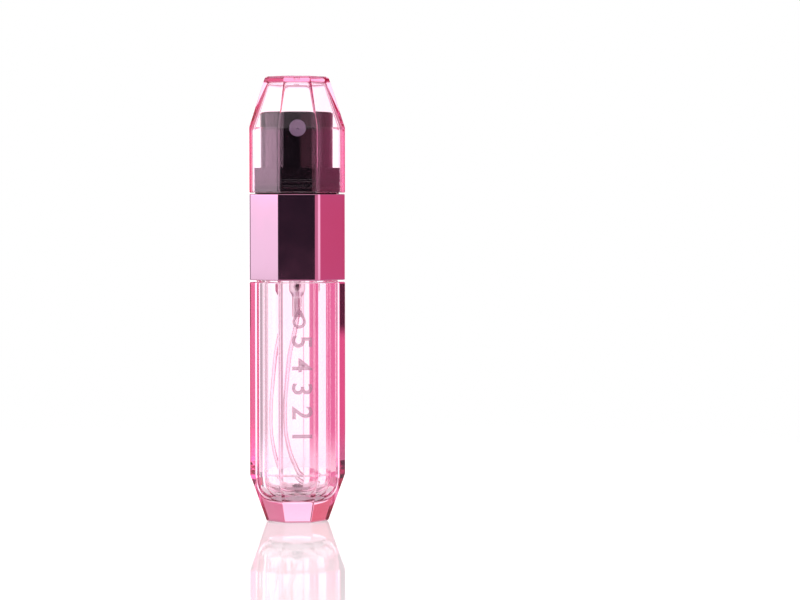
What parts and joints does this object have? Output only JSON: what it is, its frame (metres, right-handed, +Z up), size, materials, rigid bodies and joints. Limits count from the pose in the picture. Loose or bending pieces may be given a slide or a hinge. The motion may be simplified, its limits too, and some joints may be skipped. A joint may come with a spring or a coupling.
{
  "type": "refillable perfume atomiser",
  "caption": "Slim octagonal refillable perfume atomiser: clear pink shell with lift-out vial and spray pump, mirror-like metal band and clear tapered cap.",
  "frame": {"origin": "centre of the flat base that it stands on", "axes": "+Z up along the bottle's axis, the spray faces -Y"},
  "size_m": [0.022, 0.022, 0.1027],
  "materials": {
    "shell_clear": "clear, polished",
    "vial_clear": "clear, polished",
    "cap_clear": "clear, polished",
    "band_metal": "anodised pink, mirror-like",
    "black_gloss": "glossy",
    "collar_black": "satin",
    "nozzle_violet": "satin",
    "pump_clear": "translucent",
    "tube_clear": "translucent",
    "inner_white": "matte",
    "core_black": "matte",
    "seal_silicone": "soft",
    "ring_rubber": "soft",
    "spring_steel": "drawn wire",
    "ferrule_metal": "satin"
  },
  "bodies": {
    "shell": {"outer_shell": "shell_clear", "grip_ring": "ring_rubber"},
    "sprayer": {"inner_vial": "vial_clear", "fill_seal": "seal_silicone", "dip_tube": "tube_clear", "pump_housing": "pump_clear", "stem_seal": "seal_silicone", "pump_turret": "inner_white", "neck_gasket": "seal_silicone", "neck_ferrule": "ferrule_metal", "band_carrier": "core_black", "band": "band_metal", "spray_collar": "collar_black"},
    "actuator": {"actuator_button": "black_gloss", "nozzle_insert": "nozzle_violet", "pump_stem": "inner_white", "pump_piston": "inner_white", "pump_spring": "spring_steel"},
    "inlet_valve": {"inlet_ball": "spring_steel"},
    "fill_valve": {"fill_poppet": "pump_clear"},
    "cap": {"cap": "cap_clear"}
  },
  "joints": [
    {"name": "sprayer_lift", "type": "slide", "parent": "shell", "child": "sprayer", "axis": [0, 0, 1], "range_m": [0, 0.056]},
    {"name": "actuator_press", "type": "slide", "parent": "sprayer", "child": "actuator", "axis": [0, 0, -1], "range_m": [0, 0.0025], "stiffness_N_per_m": 1500, "springref_m": -0.002, "deforming": ["pump_spring"]},
    {"name": "inlet_ball_lift", "type": "slide", "parent": "sprayer", "child": "inlet_valve", "axis": [0, 0, 1], "range_m": [0, 0.0004]},
    {"name": "fill_pin_push", "type": "slide", "parent": "sprayer", "child": "fill_valve", "axis": [0, 0, 1], "range_m": [0, 0.0008], "stiffness_N_per_m": 400, "springref_m": -0.001},
    {"name": "cap_pull", "type": "slide", "parent": "sprayer", "child": "cap", "axis": [0, 0, 1], "range_m": [0, 0.022]}
  ]
}
